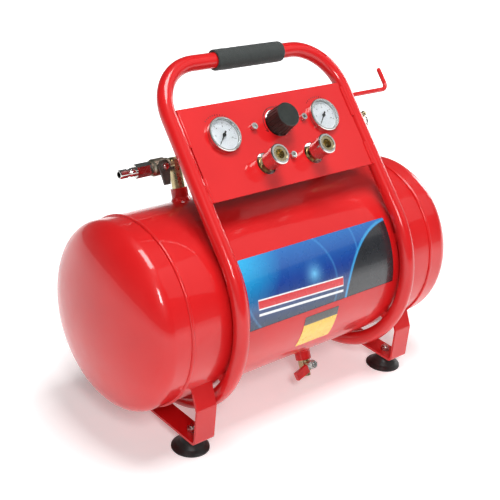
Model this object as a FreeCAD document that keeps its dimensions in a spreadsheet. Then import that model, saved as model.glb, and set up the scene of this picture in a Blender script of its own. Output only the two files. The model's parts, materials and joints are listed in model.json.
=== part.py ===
import FreeCAD, Part
import math
import os
import re
import Sketcher

# A portable air receiver: a 20 litre welded tank in a bent tube carry frame.  A sloping panel holds the
# pressure regulator, two gauges and two quick couplers.  Millimetres.  +X is the tank axis, -Y is the
# front, +Z is up, and the origin is on the floor below the middle of the whole receiver.

SIZES = {
    # tank
    "tankRadius": 115.0,
    "tankWall": 2.0,
    "tankClearance": 38.0,
    "tankBack": 9.0,
    "shellHalf": 200.0,
    "headFlange": 21.5,
    "headDepth": 44.0,
    "lipLength": 10.0,
    "seamBead": 2.2,
    # bungs welded into the tank, and the taper thread that screws into each
    "bungRadius": 10.5,
    "bungHeight": 15.0,
    "bungInside": 5.0,
    "bungWeld": 2.5,
    "threadRadius": 6.5,
    "threadLength": 11.0,
    "portBore": 4.0,
    # carry frame: one bent tube
    "tubeRadius": 9.55,
    "tubeWall": 1.5,
    "frameHalf": 140.3,
    "frameTilt": 47.3,
    "frameGap": 8.95,
    "arcOffset": 7.6,
    "arcTail": 35.0,
    "barAlong": 238.9,
    "bendRadius": 61.8,
    "padWidth": 9.0,
    "padLength": 12.0,
    # foam grip and hose hook
    "gripWall": 3.45,
    "gripLength": 107.0,
    "gripMiddle": 6.6,
    "gripSlack": 0.05,
    "gripChamfer": 3.0,
    "hookAlong": 164.0,
    "hookReach": 219.0,
    "hookRise": 28.0,
    "hookRadius": 3.0,
    "hookBend": 9.0,
    # control panel
    "panelFace": 4.84,
    "panelThick": 2.0,
    "panelLow": 66.5,
    "panelHigh": 182.7,
    "panelGap": 0.2,
    "panelWeld": 2.2,
    "weldStop": 97.0,
    "weldStart": 135.0,
    "weldInset": 1.0,
    # what sits on the panel: places across it and along the legs
    "knobAcross": 6.0,
    "knobAlong": 145.0,
    "knobFit": 0.8,
    "gaugeAcross": 81.0,
    "gaugeAlong": 142.0,
    "gaugeFit": 0.6,
    "couplerLeft": -35.0,
    "couplerRight": 42.0,
    "couplerAlong": 98.0,
    "couplerFit": 3.0,
    "screwMiddle": 7.0,
    "screwSpread": 40.8,
    "screwHigh": 145.0,
    "screwLow": 100.4,
    "screwRadius": 2.5,
    "screwHead": 4.25,
    "screwHeadHeight": 5.0,
    "screwSocket": 2.3,
    # manifold block and pipes behind the panel
    "blockFront": -6.0,
    "blockBack": -31.0,
    "blockHalf": 13.0,
    "blockEdge": 15.0,
    "bossRadius": 7.0,
    "pipeRadius": 8.0,
    "pipeBack": -21.0,
    "pipeReach": 17.0,
    "pipeCap": 12.0,
    "riserAcross": 101.0,
    "riserRadius": 6.85,
    "riserSpigot": 4.5,
    "riserNut": 12.0,
    "riserNutHeight": 11.0,
    # regulator
    "bonnetRadius": 13.0,
    "bonnetWall": 2.5,
    "bonnetFront": 13.0,
    "bonnetEnd": 3.0,
    "diaphragmThick": 1.2,
    "chamberRadius": 9.0,
    "chamberDepth": 7.0,
    "spindleRadius": 3.0,
    "spindleFront": 26.0,
    "spindleBack": -3.0,
    "spindleCollar": 5.0,
    "runFit": 0.05,
    "seatFit": 0.7,
    "seatFront": 7.0,
    "seatThick": 4.0,
    "regSpringRadius": 7.0,
    "regSpringWire": 1.4,
    "knobWall": 3.0,
    "knobTaper": 1.6,
    "knobBack": 6.2,
    "knobFront": 30.0,
    "skirtFit": 1.2,
    "knobSkirtDepth": 9.0,
    "knobHoleEnd": 3.0,
    "fluteRadius": 1.0,
    # quick couplers
    "socketHex": 11.0,
    "socketHexFront": 3.0,
    "socketThread": 12.0,
    "socketRadius": 9.0,
    "socketFront": 33.5,
    "socketBore": 6.0,
    "socketRearBore": 3.2,
    "socketStepBack": 6.5,
    "valveSeatBack": 17.3,
    "valveSeatFront": 19.3,
    "valveSeatBore": 3.6,
    "stopLip": 0.55,
    "stopWidth": 0.7,
    "collarFit": 0.25,
    "springCollarBack": 10.5,
    "springCollarFront": 12.0,
    "ballSink": 1.5,
    "ballRadius": 1.45,
    "ballPlace": 26.0,
    "sleeveBack": 12.0,
    "sleeveWall": 0.8,
    "flangeStep": 1.6,
    "sleeveFlangeBack": 28.0,
    "sleeveFront": 34.5,
    "sleeveShoulder": 21.0,
    "sleeveStop": 32.5,
    "couplerSpringWire": 0.8,
    "plungerFit": 1.0,
    "noseFit": 0.4,
    "plungerStem": 2.7,
    # gauges
    "gaugeBezel": 22.0,
    "bezelLip": 0.8,
    "bezelOverhang": 3.0,
    "gaugeFront": 11.5,
    "gaugeRimFront": 8.0,
    "gaugeBack": -12.0,
    "bezelWall": 2.3,
    "gaugeShelf": 5.5,
    "gaugeWall": 1.5,
    "gaugeStem": 4.85,
    "dialThick": 0.8,
    "lensBack": 9.3,
    "lensThick": 1.5,
    "pointerShaft": 1.0,
    "pointerClear": 4.5,
    "pointerTail": 6.0,
    "pointerLift": 7.2,
    "zeroAngle": 225.0,
    "bourdonInset": 8.0,
    "bourdonTube": 2.0,
    # safety valve
    "safetyHex": 9.8,
    "safetyHexLength": 8.0,
    "safetyRadius": 7.5,
    "safetyLength": 42.0,
    "safetyBore": 5.0,
    "liftRod": 1.8,
    "liftEye": 3.4,
    "eyeReach": 19.0,
    "eyeHole": 1.5,
    "ringRadius": 9.5,
    "ringWire": 0.95,
    # inlet: elbow, ball valve and plug
    "inletAcross": -104.5,
    "inletLean": 22.6,
    "inletRise": 30.0,
    "elbowRadius": 8.0,
    "elbowArm": 11.0,
    "inletValveLength": 26.0,
    "inletValveRadius": 10.5,
    "inletCollar": 9.0,
    "inletCollarLength": 6.0,
    "inletBall": 6.8,
    "inletBallPlace": 15.0,
    "inletBallFit": 0.25,
    "inletStem": 2.5,
    "inletBoss": 5.5,
    "inletBossLength": 13.0,
    "inletLeverGap": 1.0,
    "inletLeverThick": 3.0,
    "inletLeverLength": 22.0,
    "inletHub": 8.0,
    "inletLeverTip": 4.0,
    "inletNut": 4.6,
    "plugHex": 8.7,
    "plugHexLength": 21.0,
    "plugLength": 43.0,
    "plugRadius": 5.5,
    "plugGroove": 4.5,
    "plugBore": 3.75,
    # drain cock
    "drainAcross": 39.7,
    "drainLean": 25.6,
    "drainRise": 7.0,
    "cockRadius": 8.0,
    "cockLength": 9.0,
    "spoutLength": 7.0,
    "spoutRadius": 5.5,
    "drainBall": 5.0,
    "drainBallFit": 0.3,
    "drainBore": 3.1,
    "drainStem": 2.0,
    "drainBoss": 4.5,
    "drainBossLength": 13.5,
    "drainLeverGap": 1.0,
    "drainLeverThick": 2.0,
    "drainLeverLength": 30.0,
    "drainLeverHalf": 3.6,
    "drainCrank": 15.0,
    "drainHub": 6.0,
    "drainNut": 5.2,
    "drainNutHeight": 4.0,
    "sleeveStart": 10.0,
    "sleeveHalf": 5.4,
    "sleeveThick": 5.2,
    "sleeveTip": 2.0,
    # seats of both ball valves
    "seatInner": 0.67,
    "seatLength": 2.2,
    # feet
    "bracketAcross": 170.7,
    "bracketWidth": 29.0,
    "bracketInset": 3.6,
    "bracketDrop": 85.0,
    "bracketLean": 24.8,
    "bracketArm": 46.0,
    "bracketRound": 6.0,
    "strapThick": 3.0,
    "footInset": 25.4,
    "footRadius": 23.6,
    "footHeight": 19.4,
    "footNeck": 10.2,
    "studRadius": 3.0,
    "studBottom": 8.0,
    "studTop": 30.0,
    "studFit": 0.3,
    "nutRadius": 5.8,
    "nutHeight": 5.1,
}

# Sizes that follow others, so that pieces which fit together change together.
FOLLOWERS = {
    "tankHeight": "(tankRadius + tankClearance)",
    "arcRadius": "(tankRadius + tubeRadius + frameGap)",
    "gripRadius": "(tubeRadius + gripWall)",
    "knobHole": "(knobBase + knobFit)",
    "gaugeHole": "(gaugeBody + gaugeFit)",
    "couplerHole": "(socketHex + couplerFit)",
    "pipeEnd": "(riserAcross + pipeReach)",
    "seatRadius": "(bonnetRadius - bonnetWall - seatFit)",
    "knobSkirt": "(bonnetRadius + skirtFit)",
    "knobBase": "(knobSkirt + knobWall)",
    "knobTop": "(knobBase - knobTaper)",
    "stopRadius": "(socketRadius + stopLip)",
    "couplerSpringRadius": "(socketRadius + couplerSpringWire)",
    "sleevePocket": "(socketRadius + 2 * couplerSpringWire)",
    "springCollar": "(sleevePocket - collarFit)",
    "sleeveRadius": "(sleevePocket + sleeveWall)",
    "sleeveFlange": "(sleeveRadius + flangeStep)",
    "ballCircle": "(socketRadius - ballSink)",
    "plungerRadius": "(socketBore - plungerFit)",
    "plungerNose": "(valveSeatBore - noseFit)",
    "gaugeRim": "(gaugeBezel - bezelLip)",
    "gaugeBody": "(gaugeBezel - bezelOverhang)",
    "gaugeGlass": "(gaugeBezel - bezelWall)",
    "pointerLength": "(gaugeBody - pointerClear)",
    "bourdonRadius": "(gaugeBody - bourdonInset)",
    "safetyEnd": "(pipeEnd + safetyLength)",
    "eyeAcross": "(safetyEnd + eyeReach)",
    "inletRadius": "(tankRadius + bungHeight + inletRise)",
    "elbowTop": "(inletRadius + elbowRadius)",
    "inletChamber": "(inletBall + inletBallFit)",
    "drainRadius": "(tankRadius + bungHeight + drainRise)",
    "cockEnd": "(drainRadius + cockLength)",
    "spoutEnd": "(cockEnd + spoutLength)",
    "drainChamber": "(drainBall + drainBallFit)",
    "bracketHalf": "(tankRadius - bracketInset)",
    "bracketBend": "(tankHeight - bracketDrop)",
    "footHalf": "(bracketHalf - footInset)",
    "studHole": "(studRadius + studFit)",
}

BALLS = 6
FLUTES = 20

X_AXIS = "1; 0; 0"
Y_AXIS = "0; 1; 0"
Z_AXIS = "0; 0; 1"

doc = FreeCAD.newDocument("AirReceiver")
sheet = doc.addObject("Spreadsheet::Sheet", "Sizes")
for row, (alias, number) in enumerate(SIZES.items(), start=1):
    sheet.set(f"A{row}", alias)
    sheet.set(f"B{row}", str(number))
    sheet.setAlias(f"B{row}", alias)
doc.recompute()

ALIASES = re.compile(r"(?<!\.)\b(" + "|".join(SIZES) + r")\b")
FOLLOWER = re.compile(r"\b(" + "|".join(FOLLOWERS) + r")\b")
nodes = []


def formula(text):
    """An expression in which each bare size name stands for its cell in the sheet."""
    text = str(text)
    while FOLLOWER.search(text):
        text = FOLLOWER.sub(lambda found: FOLLOWERS[found[1]], text)
    return ALIASES.sub(r"Sizes.\1", text)


def number(text):
    """The present value of a formula."""
    result = sheet.evalExpression(formula(text))
    return float(getattr(result, "Value", result))


def bind(thing, **properties):
    for name, text in properties.items():
        thing.setExpression(name, formula(text))
    return thing


def move(x="0", y="0", z="0", turns=()):
    """A placement expression: a shift, then turns (axis, degrees) about the shifted point."""
    text = (
        f"create(<<placement>>; create(<<vector>>; {x}; {y}; {z});"
        " create(<<rotation>>; create(<<vector>>; 0; 0; 1); 0))"
    )
    for axis, angle in turns:
        text += (
            " * create(<<placement>>; create(<<vector>>; 0; 0; 0);"
            f" create(<<rotation>>; create(<<vector>>; {axis}); {angle}))"
        )
    return text


def put(thing, *places):
    """Bind an object's Placement to a chain of placement expressions."""
    if places:
        thing.setExpression("Placement", formula(" * ".join(places)))
    return thing


def cylinder(radius, height, *places):
    return put(bind(doc.addObject("Part::Cylinder", "Cylinder"), Radius=radius, Height=height), *places)


def cone(base, top, height, *places):
    thing = bind(doc.addObject("Part::Cone", "Cone"), Radius1=base, Radius2=top, Height=height)
    return put(thing, *places)


def torus(ring, wire, sweep, *places):
    thing = bind(doc.addObject("Part::Torus", "Torus"), Radius1=ring, Radius2=wire, Angle3=sweep)
    return put(thing, *places)


def sphere(radius, *places):
    return put(bind(doc.addObject("Part::Sphere", "Sphere"), Radius=radius), *places)


def dome(depth, radius, *places):
    """Upper half of a flattened sphere."""
    thing = doc.addObject("Part::Ellipsoid", "Dome")
    thing.Angle1 = 0
    thing.Angle2 = 90
    bind(thing, Radius1=depth, Radius2=radius, Radius3=radius)
    return put(thing, *places)


def hexagon(radius, height, *places):
    thing = doc.addObject("Part::Prism", "Hexagon")
    thing.Polygon = 6
    bind(thing, Circumradius=radius, Height=height)
    return put(thing, *places)


def box(low, high, *places):
    """A box between two corners given as three expressions each, under further placements."""
    thing = doc.addObject("Part::Box", "Box")
    sides = [f"({b}) - ({a})" for a, b in zip(low, high)]
    bind(thing, Length=sides[0], Width=sides[1], Height=sides[2])
    return put(thing, *places, move(*low))


def cut(base, *tools):
    thing = doc.addObject("Part::Cut", "Cut")
    thing.Base = base
    thing.Tool = tools[0] if len(tools) == 1 else fuse(*tools)
    return thing


def fuse(*shapes):
    thing = doc.addObject("Part::MultiFuse", "Fuse")
    thing.Shapes = list(shapes)
    return thing


def origin_feature(body, role):
    return next(item for item in body.Origin.OriginFeatures if item.Role == role)


def draw(body, plane, points, circles=()):
    """A fully constrained sketch: a closed outline, and circles (x, y, radius) inside it."""
    sketch = body.newObject("Sketcher::SketchObject", "Outline")
    sketch.AttachmentSupport = [(origin_feature(body, plane), "")]
    sketch.MapMode = "FlatFace"
    corners = [FreeCAD.Vector(number(x), number(y), 0) for x, y in points]
    for index, corner in enumerate(corners):
        following = corners[(index + 1) % len(corners)]
        sketch.addGeometry(Part.LineSegment(corner, following), False)
    for index in range(len(corners)):
        following = (index + 1) % len(corners)
        sketch.addConstraint(Sketcher.Constraint("Coincident", index, 2, following, 1))
    for index, (x, y) in enumerate(points):
        pin(sketch, index, 1, x, y)
    for x, y, radius in circles:
        centre = FreeCAD.Vector(number(x), number(y), 0)
        index = sketch.addGeometry(Part.Circle(centre, FreeCAD.Vector(0, 0, 1), number(radius)), False)
        pin(sketch, index, 3, x, y)
        size = sketch.addConstraint(Sketcher.Constraint("Radius", index, number(radius)))
        sketch.setExpression(f"Constraints[{size}]", formula(radius))
    return sketch


def pin(sketch, geometry, point, x, y):
    """Tie a sketch point to the sketch's origin by expressions."""
    for kind, text, axis in (("DistanceX", x, -2), ("DistanceY", y, -1)):
        if abs(number(text)) < 1e-9:
            sketch.addConstraint(Sketcher.Constraint("PointOnObject", geometry, point, axis))
            continue
        size = sketch.addConstraint(Sketcher.Constraint(kind, -1, 1, geometry, point, number(text)))
        sketch.setExpression(f"Constraints[{size}]", formula(text))


def turned(points, *places):
    """A solid of revolution about Z from an outline of (radius, z)."""
    body = doc.addObject("PartDesign::Body", "Turned")
    sketch = draw(body, "XZ_Plane", points)
    feature = body.newObject("PartDesign::Revolution", "Revolution")
    feature.Profile = sketch
    feature.ReferenceAxis = (sketch, ["V_Axis"])
    feature.Angle = 360
    sketch.Visibility = False
    return put(body, *places)


def plate(points, thickness, circles=(), *places):
    """An outline in XY raised along Z, with round holes."""
    body = doc.addObject("PartDesign::Body", "Plate")
    sketch = draw(body, "XY_Plane", points, circles)
    feature = bind(body.newObject("PartDesign::Pad", "Pad"), Length=thickness)
    feature.Profile = sketch
    return put(body, *places)


def round_bends(body, radius, wanted):
    """Fillet the upright edges of a padded body whose foot passes the test."""
    doc.recompute()
    base = body.Tip
    names = []
    for index, edge in enumerate(base.Shape.Edges, start=1):
        low, high = (vertex.Point for vertex in (edge.Vertexes[0], edge.Vertexes[-1]))
        upright = abs(low.x - high.x) + abs(low.y - high.y) < 1e-6
        if upright and wanted(low.x, low.y):
            names.append(f"Edge{index}")
    fillet = bind(body.newObject("PartDesign::Fillet", "Fillet"), Radius=radius)
    fillet.Base = (base, names)
    return body


def spring(radius, wire, length, turns, *places):
    """A coil spring about Z: a round wire swept along a helix."""
    helix = doc.addObject("Part::Helix", "Helix")
    bind(helix, Radius=radius, Height=length, Pitch=f"({length}) / {turns}")
    circle = bind(doc.addObject("Part::Circle", "Wire"), Radius=f"({wire}) / 2")
    put(circle, move(x=radius, turns=[(X_AXIS, 90)]))
    doc.recompute()
    sweep = doc.addObject("Part::Sweep", "Spring")
    sweep.Sections = [circle]
    sweep.Spine = (helix, [f"Edge{i + 1}" for i in range(len(helix.Shape.Edges))])
    sweep.Solid = True
    sweep.Frenet = True
    return put(sweep, *places)


def sub_part(name, thing, *places):
    """Name a finished piece and set where it belongs."""
    put(thing, *places)
    thing.Label = name
    nodes.append(thing)
    return thing


def frame_at(name, *places):
    return put(doc.addObject("App::Placement", name), *places)


# Places that several pieces share.  The panel frame starts where the straight leg leaves the round part
# of the carry frame: its X is the tank's, its Y runs up the legs and its Z stands out of the panel.
BUNG_TOP = "(tankRadius + bungHeight)"
PIPE_Y = "(arcOffset - (arcRadius + pipeBack) * sin(frameTilt) + gaugeAlong * cos(frameTilt))"
PIPE_Z = "((arcRadius + pipeBack) * cos(frameTilt) + gaugeAlong * sin(frameTilt))"
RISER_LEAN = f"(atan({PIPE_Y} / {PIPE_Z}) / 1deg)"
RISER_REACH = f"sqrt({PIPE_Y}^2 + {PIPE_Z}^2)"
BLOCK_HALF_WIDTH = "(screwSpread + 9)"
BLOCK_LEFT = f"(screwMiddle - {BLOCK_HALF_WIDTH})"
BLOCK_RIGHT = f"(screwMiddle + {BLOCK_HALF_WIDTH})"
PANEL_HALF = "(frameHalf - tubeRadius - panelGap)"
PANEL_BACK = "(panelFace - panelThick)"
LEG_TOP = "(barAlong - bendRadius)"
WELD_TOP = f"(min(panelHigh; {LEG_TOP}) - weldInset)"
PIPE = move(y="gaugeAlong", z="pipeBack")

INLET = move(x="inletAcross", turns=[(X_AXIS, "-inletLean")])
OUTLET = move(x="riserAcross", turns=[(X_AXIS, f"-{RISER_LEAN}")])
DRAIN = move(x="drainAcross", turns=[(X_AXIS, "180 - drainLean")])
TANK_IN_PANEL = move(
    y="-arcOffset * cos(frameTilt)",
    z="arcOffset * sin(frameTilt) - arcRadius",
    turns=[(X_AXIS, "-frameTilt")],
)

# The panel hangs out at the front, so the tank's axis is tankBack behind the middle of the receiver.
floor_frame = frame_at("FloorFrame", move(y="tankBack"))
tank_frame = frame_at("TankFrame", move(y="tankBack", z="tankHeight"))
panel_frame = frame_at(
    "PanelFrame",
    move(
        y="tankBack + arcOffset - arcRadius * sin(frameTilt)",
        z="tankHeight + arcRadius * cos(frameTilt)",
        turns=[(X_AXIS, "frameTilt")],
    ),
)
FLOOR = "FloorFrame.Placement"
TANK = "TankFrame.Placement"
PANEL = "PanelFrame.Placement"


# --- tank -------------------------------------------------------------------------------------------
def along_x(start):
    """A placement that lays an object's Z along +X from a start."""
    return move(x=start, turns=[(Y_AXIS, 90)])


def tank_shell():
    outer = cylinder("tankRadius", "2 * shellHalf", along_x("-shellHalf"))
    inner = cylinder("tankRadius - tankWall", "2 * shellHalf + 2", along_x("-shellHalf - 1"))
    holes = [
        cylinder("bungRadius", "4 * tankWall", port, move(z="tankRadius - 3 * tankWall"))
        for port in (INLET, OUTLET, DRAIN)
    ]
    sub_part("tank_shell", cut(outer, inner, *holes), TANK)


def tank_head(name, sign):
    """A dished head with a straight flange and a joggled lip that sits inside the shell."""
    outer = fuse(
        cylinder("tankRadius", "headFlange"),
        dome("headDepth", "tankRadius", move(z="headFlange")),
        cylinder("tankRadius - tankWall", "lipLength + 1", move(z="-lipLength")),
    )
    inner = fuse(
        cylinder("tankRadius - tankWall", "headFlange - 2 * tankWall", move(z="2 * tankWall")),
        dome("headDepth - tankWall", "tankRadius - tankWall", move(z="headFlange")),
        cylinder("tankRadius - 2 * tankWall", "lipLength + 3 * tankWall", move(z="-lipLength - 1")),
    )
    place = move(x=f"{sign} * shellHalf", turns=[(Y_AXIS, f"{sign} * 90")])
    sub_part(name, cut(outer, inner), TANK, place)


def tank_bungs():
    """Three threaded bungs: inlet, outlet to the regulator, and drain."""
    pieces = []
    for port in (INLET, OUTLET, DRAIN):
        barrel = cylinder("bungRadius", "bungHeight + bungInside", port, move(z="tankRadius - bungInside"))
        weld = cut(
            cone("bungRadius + bungWeld", "bungRadius", "2 * bungWeld", port, move(z="tankRadius - 1")),
            cylinder("tankRadius", "2 * shellHalf", along_x("-shellHalf")),
        )
        through = "bungHeight + bungInside + 2"
        bore = cylinder("threadRadius", through, port, move(z="tankRadius - bungInside - 1"))
        pieces.append(cut(fuse(barrel, weld), bore))
    sub_part("tank_bungs", fuse(*pieces), TANK)


def leg_cylinder(side, radius, start="0", stop=LEG_TOP):
    place = move(x=f"{side} * frameHalf", y=start, turns=[(X_AXIS, "-90")])
    return cylinder(radius, f"({stop}) - ({start})", place)


def lower_arc(side, radius):
    """The round part of the frame, from the leg down the front and under the tank."""
    place = move(x=f"{side} * frameHalf", z="-arcRadius", turns=[(Y_AXIS, "-90"), (X_AXIS, "180")])
    return torus("arcRadius", radius, "180 - frameTilt + arcTail", place)


def weld_beads():
    """The two circumferential seams and the welds that hold the panel between the legs."""
    beads = []
    for side in ("1", "-1"):
        place = (TANK_IN_PANEL, along_x(f"{side} * shellHalf"))
        start = along_x(f"{side} * shellHalf - 4 * seamBead")
        trim = cylinder("tankRadius", "8 * seamBead", TANK_IN_PANEL, start)
        beads.append(cut(torus("tankRadius", "seamBead", "360", *place), trim))
        for start, stop in (("panelLow", "weldStop"), ("weldStart", WELD_TOP)):
            across = f"{side} * ({PANEL_HALF} + panelWeld / 2)"
            place = move(x=across, y=start, z="panelFace", turns=[(X_AXIS, "-90")])
            bead = cylinder("panelWeld", f"{stop} - {start}", place)
            sheet_metal = box(
                (f"-{PANEL_HALF}", "panelLow - 1", PANEL_BACK), (PANEL_HALF, "panelHigh + 1", "panelFace")
            )
            beads.append(cut(bead, sheet_metal, leg_cylinder(side, "tubeRadius")))
    sub_part("weld_beads", fuse(*beads), PANEL)


# --- carry frame ------------------------------------------------------------------------------------
def frame_path():
    """The centre line of the carry frame, from one tail under the tank to the other."""
    half, bar, bend, ring = (number(name) for name in ("frameHalf", "barAlong", "bendRadius", "arcRadius"))
    sweep = math.radians(number("180 - frameTilt + arcTail"))
    square = bend * (1 - math.sqrt(0.5))

    def on_arc(side, angle):
        return FreeCAD.Vector(side * half, -ring * math.sin(angle), ring * (math.cos(angle) - 1))

    def side_edges(side):
        leg_top = FreeCAD.Vector(side * half, bar - bend, 0)
        middle = FreeCAD.Vector(side * (half - square), bar - square, 0)
        bar_end = FreeCAD.Vector(side * (half - bend), bar, 0)
        return [
            Part.Arc(on_arc(side, sweep), on_arc(side, sweep / 2), on_arc(side, 0)).toShape(),
            Part.LineSegment(on_arc(side, 0), leg_top).toShape(),
            Part.Arc(leg_top, middle, bar_end).toShape(),
        ]

    right, left = side_edges(1), side_edges(-1)
    ends = [FreeCAD.Vector(side * (half - bend), bar, 0) for side in (1, -1)]
    path = doc.addObject("Part::Feature", "FramePath")
    path.Shape = Part.Wire(right + [Part.LineSegment(*ends).toShape()] + left[::-1])
    return path


def bent_tube(path, radius):
    """A round bar of a given radius swept along the frame's centre line."""
    start = move(x="frameHalf", z="-arcRadius", turns=[(X_AXIS, "180 - frameTilt + arcTail")])
    circle = bind(doc.addObject("Part::Circle", "Round"), Radius=radius)
    put(circle, start, move(z="arcRadius", turns=[(X_AXIS, "90")]))
    sweep = doc.addObject("Part::Sweep", "Tube")
    sweep.Sections = [circle]
    sweep.Spine = (path, [f"Edge{index + 1}" for index in range(len(path.Shape.Edges))])
    sweep.Solid = True
    return sweep


def carry_frame():
    path = frame_path()
    bore = bent_tube(path, "tubeRadius - tubeWall")
    sub_part("carry_frame", cut(bent_tube(path, "tubeRadius"), bore), PANEL)


def frame_pads():
    """Welded blocks that join the round part of the frame to the tank."""
    pads = []
    for side in ("1", "-1"):
        for angle in ("15", "70", "132"):
            place = move(x=f"{side} * frameHalf", z="-arcRadius", turns=[(X_AXIS, angle)])
            low = ("-padWidth / 2", "-padLength / 2", "arcRadius - 4 * tubeRadius")
            high = ("padWidth / 2", "padLength / 2", "arcRadius")
            tank = cylinder("tankRadius", "2 * shellHalf", TANK_IN_PANEL, along_x("-shellHalf"))
            pads.append(cut(box(low, high, place), tank, lower_arc(side, "tubeRadius")))
    sub_part("frame_pads", fuse(*pads), PANEL)


def foam_grip():
    inner = "tubeRadius + gripSlack"
    points = [
        (inner, "0"),
        ("gripRadius - gripChamfer", "0"),
        ("gripRadius", "gripChamfer"),
        ("gripRadius", "gripLength - gripChamfer"),
        ("gripRadius - gripChamfer", "gripLength"),
        (inner, "gripLength"),
    ]
    place = move(x="gripMiddle - gripLength / 2", y="barAlong", turns=[(Y_AXIS, "90")])
    sub_part("foam_grip", turned(points), PANEL, place)


def hose_hook():
    """A bent rod beside the right leg that a coiled hose hangs on."""
    reach = "hookReach - hookBend - frameHalf"
    arm = cylinder("hookRadius", reach, move(x="frameHalf", y="hookAlong", turns=[(Y_AXIS, "90")]))
    corner = move(x="hookReach - hookBend", y="hookAlong + hookBend", turns=[(Z_AXIS, "-90")])
    bend = torus("hookBend", "hookRadius", "90", corner)
    foot = move(x="hookReach", y="hookAlong + hookBend", turns=[(X_AXIS, "-90")])
    upright = cylinder("hookRadius", "hookRise - hookBend", foot)
    tip = sphere("hookRadius", move(x="hookReach", y="hookAlong + hookRise"))
    sub_part("hose_hook", cut(fuse(arm, bend, upright, tip), leg_cylinder("1", "tubeRadius")), PANEL)


# --- panel ------------------------------------------------------------------------------------------
SCREWS = (
    ("screwMiddle - screwSpread", "screwHigh"),
    ("screwMiddle + screwSpread", "screwHigh"),
    ("screwMiddle", "screwLow"),
)


def control_panel():
    outline = [
        (f"-{PANEL_HALF}", "panelLow"),
        (PANEL_HALF, "panelLow"),
        (PANEL_HALF, "panelHigh"),
        (f"-{PANEL_HALF}", "panelHigh"),
    ]
    holes = [
        ("-gaugeAcross", "gaugeAlong", "gaugeHole"),
        ("gaugeAcross", "gaugeAlong", "gaugeHole"),
        ("knobAcross", "knobAlong", "knobHole"),
        ("couplerLeft", "couplerAlong", "couplerHole"),
        ("couplerRight", "couplerAlong", "couplerHole"),
    ]
    holes += [(x, y, "screwRadius + 0.25") for x, y in SCREWS]
    sub_part("control_panel", plate(outline, "panelThick", holes), PANEL, move(z=PANEL_BACK))


def panel_screws():
    """Three socket head screws that hold the manifold block to the panel."""
    screws = []
    for x, y in SCREWS:
        head = cylinder("screwHead", "screwHeadHeight", move(x, y, "panelFace"))
        shank = cylinder("screwRadius", "panelFace - blockFront + 8", move(x, y, "blockFront - 8"))
        socket = hexagon("screwSocket", "screwHeadHeight", move(x, y, "panelFace + screwHeadHeight / 2"))
        screws.append(cut(fuse(head, shank), socket))
    sub_part("panel_screws", fuse(*screws), PANEL)


def manifold_block():
    """A cast block behind the panel: regulator seat on top, two coupler ports below."""
    low, high = "blockBack", "blockFront"
    solid = [
        box((BLOCK_LEFT, "knobAlong - blockHalf", low), (BLOCK_RIGHT, "knobAlong + blockHalf", high)),
        box(
            ("couplerLeft - blockEdge", "couplerAlong - blockHalf", low),
            ("couplerRight + blockEdge", "couplerAlong + blockHalf", high),
        ),
        box(("screwMiddle - blockEdge", "couplerAlong", low), ("screwMiddle + blockEdge", "knobAlong", high)),
    ]
    boss_height = f"{PANEL_BACK} - blockFront"
    solid += [cylinder("bossRadius", boss_height, move(x, y, "blockFront")) for x, y in SCREWS]
    drilled = [cylinder("screwRadius", "20", move(x, y, "blockFront - 9")) for x, y in SCREWS]
    for x in ("couplerLeft", "couplerRight"):
        floor = move(x, "couplerAlong", "blockFront - socketThread")
        drilled.append(cylinder("threadRadius", "socketThread + 1", floor))
    knob = ("knobAcross", "knobAlong")
    drilled += [
        cylinder("bonnetRadius", "2 * diaphragmThick", move(*knob, "blockFront - diaphragmThick")),
        cylinder(
            "chamberRadius", "chamberDepth + 1", move(*knob, "blockFront - diaphragmThick - chamberDepth")
        ),
        cylinder("portBore", "-pipeBack - 8", move(*knob, "pipeBack")),
        cylinder(
            "portBore",
            "couplerRight - couplerLeft",
            move(y="couplerAlong", z="pipeBack"),
            along_x("couplerLeft"),
        ),
        cylinder(
            "portBore",
            "knobAlong - couplerAlong",
            move(x="knobAcross", y="couplerAlong", z="pipeBack", turns=[(X_AXIS, "-90")]),
        ),
        cylinder("portBore", f"knobAcross - {BLOCK_LEFT}", PIPE, along_x(BLOCK_LEFT)),
        cylinder("portBore", f"{BLOCK_RIGHT} - knobAcross - 12", PIPE, along_x("knobAcross + 12")),
        cylinder("portBore / 2", "14", PIPE, along_x("knobAcross")),
    ]
    for start in (f"{BLOCK_LEFT} - 1", f"{BLOCK_RIGHT} - threadLength"):
        drilled.append(cylinder("threadRadius", "threadLength + 1", PIPE, along_x(start)))
    sub_part("manifold_block", cut(fuse(*solid), *drilled), PANEL)


def gauge_pipe(name, side, inner, outer, open_end):
    """A round bar that screws into the block's end and carries a gauge."""
    place = move(x=inner, y="gaugeAlong", z="pipeBack", turns=[(Y_AXIS, f"{side} * 90")])
    length = f"({side} * ({outer} - ({inner})))"
    solid = fuse(
        cylinder("pipeRadius", length, place),
        cylinder("threadRadius", "threadLength", place, move(z="-threadLength")),
    )
    drilled = [
        cylinder("portBore", f"{length} + threadLength - pipeCap / 2", place, move(z="-threadLength")),
        cylinder("gaugeStem", "pipeRadius + 1", move(f"{side} * gaugeAcross", "gaugeAlong", "pipeBack")),
    ]
    if open_end:
        thread_start = move(z=f"{length} - threadLength")
        riser_turn = [(X_AXIS, f"180 - {RISER_LEAN} - frameTilt")]
        drilled.append(cylinder("threadRadius", "threadLength + 1", place, thread_start))
        riser_place = move(x="riserAcross", turns=riser_turn)
        drilled.append(cylinder("riserSpigot", "pipeRadius + 1", PIPE, riser_place))
    sub_part(name, cut(solid, *drilled), PANEL)


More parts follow.
